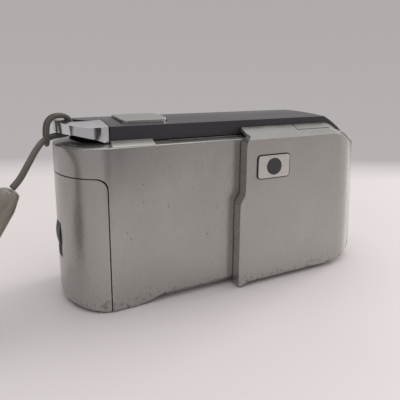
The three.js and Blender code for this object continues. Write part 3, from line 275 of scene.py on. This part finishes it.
def circuit_board():
    look = Look("circuit_board", Roughness=0.4)
    cells = look.node(
        "ShaderNodeTexVoronoi", {"Vector": look.place, "Scale": 420.0}, distance="MANHATTAN"
    )
    tracks = look.ramp(cells.outputs["Distance"], 0.32, 0.36)
    base = look.blend(look.maths("MULTIPLY", tracks, 0.7), (0.012, 0.085, 0.035), (0.03, 0.17, 0.07))
    pads = look.ramp(cells.outputs["Distance"], 0.1, 0.08)
    look.set("Base Color", look.blend(pads, base, (0.6, 0.45, 0.2)))
    look.set("Roughness", look.ramp(look.grain(2, 3), 0.3, 0.7, 0.3, 0.5))
    look.bump(tracks, 0.03)
    return look.material


def cell_jacket():
    """Printed foil of an AA cell: a dark barrel with a copper-coloured shoulder."""
    look = Look("cell_foil", Metallic=0.5, Roughness=0.3)
    shoulder = look.ramp(look.axis(0), -0.012, -0.0118)
    foil = look.blend(shoulder, (0.025, 0.03, 0.055), (0.42, 0.2, 0.09))
    worn = look.ramp(look.grain(4, 4), 0.45, 0.75, 0, 0.4)
    look.set("Base Color", look.blend(worn, foil, (0.2, 0.2, 0.22)))
    look.set("Roughness", look.ramp(look.grain(3, 3), 0.3, 0.7, 0.2, 0.4))
    look.bump(look.grain(2, 2), 0.01)
    return look.material


def card_plastic():
    look = Look("card_shell", Roughness=0.4)
    look.set("Base Color", look.blend(look.grain(3, 4), (0.02, 0.035, 0.10), (0.035, 0.055, 0.14)))
    look.set("Roughness", look.ramp(look.grain(2, 3), 0.3, 0.7, 0.34, 0.5))
    look.bump(look.grain(0.3, 2), 0.012)
    return look.material


def strap_cord():
    """Braided polyester with painted shade: lighter raised yarns over darker gaps, rubbed and a little
    dusty.
    """
    look = Look("braided_cord", Roughness=0.85, Sheen_Weight=0.35, Sheen_Roughness=0.5)
    yarn_height_and_shade = look.node("ShaderNodeAttribute", attribute_name="yarn_height_and_shade").outputs["Fac"]
    cloud = look.grain(6, 4)
    # Painted shade: the colour goes dark where the braid's relief sinks into the gaps between the yarns.
    base = look.blend(yarn_height_and_shade, (0.022, 0.019, 0.015), (0.115, 0.10, 0.078))
    base = look.blend(look.ramp(cloud, 0.35, 0.7, 0, 0.35), base, (0.06, 0.052, 0.04))
    fibre = look.grain(0.09, 3, (1, 1, 3))
    look.set("Base Color", look.blend(look.maths("MULTIPLY", fibre, 0.3), base, (0.2, 0.18, 0.15)))
    look.set("Roughness", look.ramp(fibre, 0.3, 0.7, 0.75, 0.95))
    look.bump(fibre, 0.03)
    return look.material


LOOKS = {
    "silver_paint": silver_paint(),
    "dark_paint": dark_paint(),
    "chrome_trim": chrome_trim(),
    "satin_metal": satin_metal(),
    "black_plastic": black_plastic(),
    "clear_glass": clear_glass(),
    "red_lens": red_lens(),
    "steel": steel(),
    "brass_contact": brass(),
    "circuit_board": circuit_board(),
    "cell_jacket": cell_jacket(),
    "card_plastic": card_plastic(),
    "strap_cord": strap_cord(),
    "grey_gloss": grey_gloss(),
}

# ---------------------------------------------------------------- mesh helpers


def add_piece(name, mesh, body, slot):
    """Links a mesh as a piece of the object that rides on a body and has a slot's look."""
    made = bpy.data.objects.new(name, mesh)
    bpy.context.scene.collection.objects.link(made)
    made.data.materials.append(LOOKS[slot])
    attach(made, body)
    return made


def spline(points, step):
    """A smooth line through the points (centripetal Catmull-Rom), in steps of about one length."""
    points = [Vector(p) for p in points]
    points = [2 * points[0] - points[1], *points, 2 * points[-1] - points[-2]]
    line = []
    for a, b, c, d in zip(points, points[1:], points[2:], points[3:]):
        t1 = (b - a).length ** 0.5
        t2 = t1 + (c - b).length ** 0.5
        t3 = t2 + (d - c).length ** 0.5
        count = max(1, round((c - b).length / step))
        for i in range(count):
            t = t1 + (t2 - t1) * i / count
            ab = a.lerp(b, t / t1)
            bc = b.lerp(c, (t - t1) / (t2 - t1))
            cd = c.lerp(d, (t - t2) / (t3 - t2))
            abc = ab.lerp(bc, t / t2)
            bcd = bc.lerp(cd, (t - t1) / (t3 - t1))
            line.append(abc.lerp(bcd, (t - t1) / (t2 - t1)))
    return [*line, points[-2]]


def braided_tube(name, line, radius, sides, strands, lay):
    """A tube along a line, with the relief of a braid of strands that turn once in a lay length."""
    mesh = bpy.data.meshes.new(name)
    rings, faces, yarns = [], [], []
    aside, travelled = None, 0.0
    for i, point in enumerate(line):
        ahead = (line[min(i + 1, len(line) - 1)] - line[max(i - 1, 0)]).normalized()
        if aside is None:
            aside = ahead.orthogonal().normalized()
        else:
            travelled += (point - line[i - 1]).length
        aside = (aside - ahead * aside.dot(ahead)).normalized()
        across = ahead.cross(aside)
        for j in range(sides):
            angle = 2 * math.pi * j / sides
            turn = 2 * math.pi * travelled / lay
            left = math.cos(strands * (angle + turn))
            right = math.cos(strands * (angle - turn))
            yarn_height_and_shade = 0.5 + 0.5 * max(left, right)
            reach = radius * (0.93 + 0.07 * yarn_height_and_shade)
            rings.append(point + reach * (math.cos(angle) * aside + math.sin(angle) * across))
            yarns.append(yarn_height_and_shade)
    for i in range(len(line) - 1):
        for j in range(sides):
            k = (j + 1) % sides
            faces.append((i * sides + j, i * sides + k, (i + 1) * sides + k, (i + 1) * sides + j))
    last = (len(line) - 1) * sides
    faces.append(tuple(range(sides))[::-1])
    faces.append(tuple(last + j for j in range(sides)))
    mesh.from_pydata([tuple(v) for v in rings], [], faces)
    # The yarns' height is stored to drive the cord's relief and its painted shade in the gaps.
    mesh.attributes.new("yarn_height_and_shade", "FLOAT", "POINT").data.foreach_set("value", yarns)
    mesh.shade_smooth()
    return mesh


# ---------------------------------------------------------------- strap
TETHER = 1.3 * MM  # diameter of the thin cord round the bar
CORD = 3.2 * MM  # diameter of the wrist cord
CONNECTOR = {"length": 15.7, "tilt": math.radians(31.3), "x": -64.2, "y": -10.8, "z": 37.2}
# The tether's middle line, and how far its two strands lie to each side of it in x and y.
TETHER_ROUTE = [
    (-62, -9.3, 39.4, 0.1, -0.72), (-59.6, -6.5, 42.4, 0.1, -0.72), (-56.9, -2.6, 45.5, 0.1, -0.72),
    (-54.4, 0.9, 47.25, 0.1, -0.75), (-52, 1.4, 48.1, 0.1, -0.95), (-50.1, 1.4, 48.35, 0, -1.15),
    (-48.3, 1.4, 48.75, 0, -1.2), (-47.4, 1.4, 50.2, 0, -1.25), (-47.4, 1.4, 51.9, 0, -1.3),
    (-48.4, 1.4, 53.35, 0, -1.4), (-50.4, 1.4, 53.7, 0, -1.5), (-52.3, 1.4, 53.15, 0, -1.65),
    (-53.4, 1.4, 51.8, 0, -1.9), (-53.8, 1.4, 50.2, 0, -2.2), (-53.9, 1.4, 48.6, 0, -2.4),
    (-53.9, 1.4, 47, 0, -2), (-53.9, 1.4, 45.9, 0, 0),
]
# One leg of the wrist cord: x, the distance from the middle between the legs, z, and how far that
# middle has moved over to the coil's.
LEG_ROUTE = [
    (-75.3, -1.8, 20, 0), (-78.3, -1.85, 15.1, 0.04), (-81.6, -2, 10.2, 0.12),
    (-85.6, -2.5, 5.6, 0.28), (-90.4, -3.7, 2.75, 0.52), (-95.6, -5.6, 1.8, 0.78),
    (-100.6, -8.3, 1.75, 0.95),
]
COIL = {"x": -118, "y": -6, "radius": 17.6, "start": math.radians(-60)}
COIL_TURN = math.radians(600)
COIL_STEPS = 44
RISE_START = math.radians(225)  # how far round the cord begins to climb onto the upper layer
RISE_TURN = math.radians(110)  # how far round it goes while it climbs
LAYERS = (1.75, 5.0)  # heights of the coil's two layers
STRAND_OFFSET = 0.72  # from the connector's axis to each strand of the tether, where it comes out
LEG_OFFSET = 1.75  # from the connector's axis to each leg of the wrist cord
BEFORE_COIL = 6  # how far before the coil's start a leg has its last point


def connector_point(distance, dx, dy):
    """A point beside the connector's axis, a distance below its top."""
    return (
        CONNECTOR["x"] - distance * math.sin(CONNECTOR["tilt"]) + dx,
        CONNECTOR["y"] + dy,
        CONNECTOR["z"] - distance * math.cos(CONNECTOR["tilt"]),
    )


def strand_points(side):
    start = connector_point(-0.6, side * 0.1, side * -STRAND_OFFSET)
    return [start, *[(x + side * dx, y + side * dy, z) for x, y, z, dx, dy in TETHER_ROUTE]]


def leg_points(side):
    """One leg from the connector's foot to just before the coil."""
    points = [connector_point(CONNECTOR["length"] + 0.4, 0, -side * LEG_OFFSET)]
    for x, aside, z, over in LEG_ROUTE:
        middle = CONNECTOR["y"] + over * (COIL["y"] - CONNECTOR["y"])
        points.append((x, middle + side * aside, z))
    c, s = math.cos(COIL["start"]), math.sin(COIL["start"])
    points.append((
        COIL["x"] + COIL["radius"] * c - BEFORE_COIL * s,
        COIL["y"] + side * (COIL["radius"] * s + BEFORE_COIL * c),
        (LAYERS[0] + (LAYERS[0] if side > 0 else LAYERS[1])) / 2,
    ))
    return points


def coil_points():
    """One and two thirds turns clockwise: round the lower layer, then up and round on top of it."""
    points = []
    for i in range(COIL_STEPS + 1):
        angle = COIL["start"] - COIL_TURN * i / COIL_STEPS
        rise = min(max((COIL["start"] - angle - RISE_START) / RISE_TURN, 0), 1)
        rise = rise * rise * (3 - 2 * rise)
        points.append((
            COIL["x"] + COIL["radius"] * math.cos(angle),
            COIL["y"] + COIL["radius"] * math.sin(angle),
            LAYERS[0] + (LAYERS[1] - LAYERS[0]) * rise,
        ))
    return points


def in_metres(points):
    return [Vector(p) * MM for p in points]


def strap():
    tether_route = [*strand_points(1), *strand_points(-1)[-2::-1]]
    tether_line = spline(in_metres(tether_route), 0.2 * MM)
    tether = add_piece(
        "tether_cord",
        braided_tube("tether_cord", tether_line, TETHER / 2, sides=12, strands=3, lay=1.6 * MM),
        "camera_body",
        "strap_cord",
    )
    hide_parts("strap_tether")
    loop = [*leg_points(1), *coil_points(), *leg_points(-1)[::-1]]
    loop_line = spline(in_metres(loop), 0.35 * MM)
    cord = add_piece(
        "wrist_cord",
        braided_tube("wrist_cord", loop_line, CORD / 2, sides=32, strands=8, lay=11 * MM),
        "camera_body",
        "strap_cord",
    )
    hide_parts("wrist_cord_in", "wrist_cord_out", "wrist_coil")


strap()

# ---------------------------------------------------------------- carried-over CAD pieces
# How wide the edges of each piece are rounded, in millimetres.
ROUNDING = {
    "front_shell": 0.5, "back_shell": 0.35, "battery_door": 0.3, "top_cover": 0.3,
    "lens_cover": 0.55, "strap_bracket": 0.85, "shutter_button": 0.3, "badge_plate": 0.08,
    "badge_disc": 0.08, "door_latch": 0.25, "port_flap": 0.25, "strap_connector": 0.0,
}
SMALL_ROUNDING = 0.12
EDGE_ANGLE = math.radians(28)  # corners sharper than this are rounded
FLAT_ANGLE = math.radians(0.4)  # facets closer than this are one face
WELD_DISTANCE = 0.002 * MM


def finish_node(node, slot):
    """Rounds a CAD node's edges, smooths its shading and gives it its slot's look."""
    piece = NODES[node]
    piece.data.materials.clear()
    piece.data.materials.append(LOOKS[slot])
    custom = piece.data.attributes.get("custom_normal")
    if custom:
        piece.data.attributes.remove(custom)
    piece.data.shade_smooth()
    weld = piece.modifiers.new("join_corners", "WELD")
    weld.merge_threshold = WELD_DISTANCE
    width = ROUNDING.get(node, SMALL_ROUNDING)
    if width:
        flatten = piece.modifiers.new("flat_faces", "DECIMATE")
        flatten.decimate_type = "DISSOLVE"
        flatten.angle_limit = FLAT_ANGLE
        bevel = piece.modifiers.new("rounded_edges", "BEVEL")
        bevel.width = width * MM
        bevel.segments = 3
        bevel.limit_method = "ANGLE"
        bevel.angle_limit = EDGE_ANGLE
    normals = piece.modifiers.new("even_shading", "WEIGHTED_NORMAL")
    normals.keep_sharp = True
    normals.weight = 60


for subpart in frame["record"]["subparts"]:
    if not NODES[subpart["node"]].hide_render:
        finish_node(subpart["node"], subpart["material_slot"])

# ---------------------------------------------------------------- badge seat
SEAT_WIDTH = 0.32 * MM  # how far the dark seat shows round the plate
SEAT_CORNER = 1.0 * MM  # radius of the plate's corners
SEAT_SINK = 0.22 * MM  # how far the seat's face is behind the plate's
SEAT_DEEPER = 0.03 * MM  # how far it reaches behind the plate's back
CORNER_STEPS = 6


def frame_ring(name, low, high, front, back, thick, radius, body, slot):
    """A thin ring with rounded corners round a box in the front view, from y front to y back."""
    corners = [(high.x, high.z, 0), (low.x, high.z, 90), (low.x, low.z, 180), (high.x, low.z, 270)]
    outline, inner = [], []
    for x, z, start in corners:
        cx = x - math.copysign(radius, x - (low.x + high.x) / 2)
        cz = z - math.copysign(radius, z - (low.z + high.z) / 2)
        for step in range(CORNER_STEPS + 1):
            angle = math.radians(start + 90 * step / CORNER_STEPS)
            c, s = math.cos(angle), math.sin(angle)
            outline.append((cx + (radius + thick) * c, cz + (radius + thick) * s))
            inner.append((cx + radius * c, cz + radius * s))
    count = len(outline)
    points = []
    for loop, y in ((outline, front), (outline, back), (inner, back), (inner, front)):
        points += [(x, y, z) for x, z in loop]
    faces = []
    for loop in range(4):
        for i in range(count):
            j = (i + 1) % count
            a, b = loop * count, (loop + 1) % 4 * count
            faces.append((a + i, a + j, b + j, b + i))
    mesh = bpy.data.meshes.new(name)
    mesh.from_pydata(points, [], faces)
    edit = bmesh.new()
    edit.from_mesh(mesh)
    bmesh.ops.recalc_face_normals(edit, faces=edit.faces)
    edit.to_mesh(mesh)
    edit.free()
    return add_piece(name, mesh, body, slot)


badge_low, badge_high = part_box("badge_plate")
frame_ring(
    "badge_seat", badge_low, badge_high, badge_low.y + SEAT_SINK, badge_high.y + SEAT_DEEPER,
    SEAT_WIDTH, SEAT_CORNER, "sliding_cover", "black_plastic",
)

# ---------------------------------------------------------------- studio
FLOOR_SIZE = 0.8
# Where the table melts into the background, in metres along the camera's level line of sight.
BACK_EDGE = (0.120, 0.185)
FRONT_EDGE = (-0.16, -0.12)
BACKGROUND = (0.435, 0.405, 0.408)
FLOOR_COLOUR = (0.74, 0.69, 0.685)
# Unlit parts of the room: a direction, and the cosines where it is fully dark and no longer dark.
DARK_SIDES = [((0.12, -0.98, -0.08), 0.993, 0.965), ((-0.85, 0.5, 0.0), 0.93, 0.72)]
DARKEST = 0.1  # share of the room's light that is left there
AIM = Vector((0, 0, 0.02))  # the point that the lights face


def studio_floor():
    mesh = bpy.data.meshes.new("studio_floor")
    edit = bmesh.new()
    bmesh.ops.create_grid(edit, x_segments=8, y_segments=8, size=FLOOR_SIZE)
    edit.to_mesh(mesh)
    edit.free()
    floor = bpy.data.objects.new("studio_floor", mesh)
    bpy.context.scene.collection.objects.link(floor)
    look = Look("studio_table", Roughness=0.5)
    cloud = look.ramp(look.grain(60, 2), 0.3, 0.7)
    look.set("Base Color", look.blend(cloud, FLOOR_COLOUR, [0.97 * c for c in FLOOR_COLOUR]))
    look.bump(look.grain(0.8, 2), 0.01)
    away = (math.sin(YAW), math.cos(YAW), 0)
    reach = look.node("ShaderNodeVectorMath", {0: look.place, 1: away}, operation="DOT_PRODUCT")
    behind = look.ramp(reach.outputs["Value"], *BACK_EDGE, 1, 0)
    before = look.ramp(reach.outputs["Value"], *FRONT_EDGE, 0, 1)
    look.set("Alpha", look.maths("MULTIPLY", behind, before))
    mesh.materials.append(look.material)


def studio_world():
    """A grey room with a brighter ceiling and two unlit sides."""
    world = bpy.data.worlds.new("studio_room")
    world.use_nodes = True
    tree = world.node_tree
    background = tree.nodes["Background"]
    place = tree.nodes.new("ShaderNodeTexCoord")
    axes = tree.nodes.new("ShaderNodeSeparateXYZ")
    ramp = tree.nodes.new("ShaderNodeValToRGB")
    tree.links.new(place.outputs["Generated"], axes.inputs[0])
    height = tree.nodes.new("ShaderNodeMapRange")
    height.inputs[1].default_value = -1
    tree.links.new(axes.outputs[2], height.inputs[0])
    tree.links.new(height.outputs[0], ramp.inputs[0])
    colour = ramp.outputs[0]
    for direction, full, none in DARK_SIDES:
        toward = tree.nodes.new("ShaderNodeVectorMath")
        toward.operation = "DOT_PRODUCT"
        toward.inputs[1].default_value = Vector(direction).normalized()
        tree.links.new(place.outputs["Generated"], toward.inputs[0])
        shade = tree.nodes.new("ShaderNodeMapRange")
        shade.interpolation_type = "SMOOTHSTEP"
        for index, value in enumerate((none, full, 1.0, DARKEST), start=1):
            shade.inputs[index].default_value = value
        tree.links.new(toward.outputs["Value"], shade.inputs[0])
        dim = tree.nodes.new("ShaderNodeVectorMath")
        dim.operation = "SCALE"
        tree.links.new(colour, dim.inputs[0])
        tree.links.new(shade.outputs[0], dim.inputs["Scale"])
        colour = dim.outputs[0]
    tree.links.new(colour, background.inputs[0])
    stops = [
        (0.0, (0.5, 0.48, 0.48)), (0.375, (0.60, 0.57, 0.57)), (0.41, (0.47, 0.44, 0.44)),
        (0.58, BACKGROUND), (0.8, (0.6, 0.6, 0.6)), (1.0, (0.9, 0.9, 0.9)),
    ]
    ramp.color_ramp.elements[0].position = stops[0][0]
    ramp.color_ramp.elements[1].position = stops[-1][0]
    for position, _ in stops[1:-1]:
        ramp.color_ramp.elements.new(position)
    for element, (position, colour) in zip(ramp.color_ramp.elements, stops):
        element.position = position
        element.color = (*colour, 1)
    bpy.context.scene.world = world


def soft_light(name, place, size, power, colour=(1, 1, 1)):
    data = bpy.data.lights.new(name, "AREA")
    data.size = size
    data.energy = power
    data.color = colour
    lamp = bpy.data.objects.new(name, data)
    lamp.location = place
    aim = AIM - Vector(place)
    lamp.rotation_mode = "QUATERNION"
    lamp.rotation_quaternion = aim.to_track_quat("-Z", "Y")
    bpy.context.scene.collection.objects.link(lamp)


studio_floor()
studio_world()
soft_light("ceiling_light", (0.0, -0.1, 1.3), 1.5, 4.6)
soft_light("window_light", (1.15, 0.15, 0.5), 0.5, 8.5, (1.0, 0.985, 0.97))
bpy.context.scene.view_settings.view_transform = "Standard"
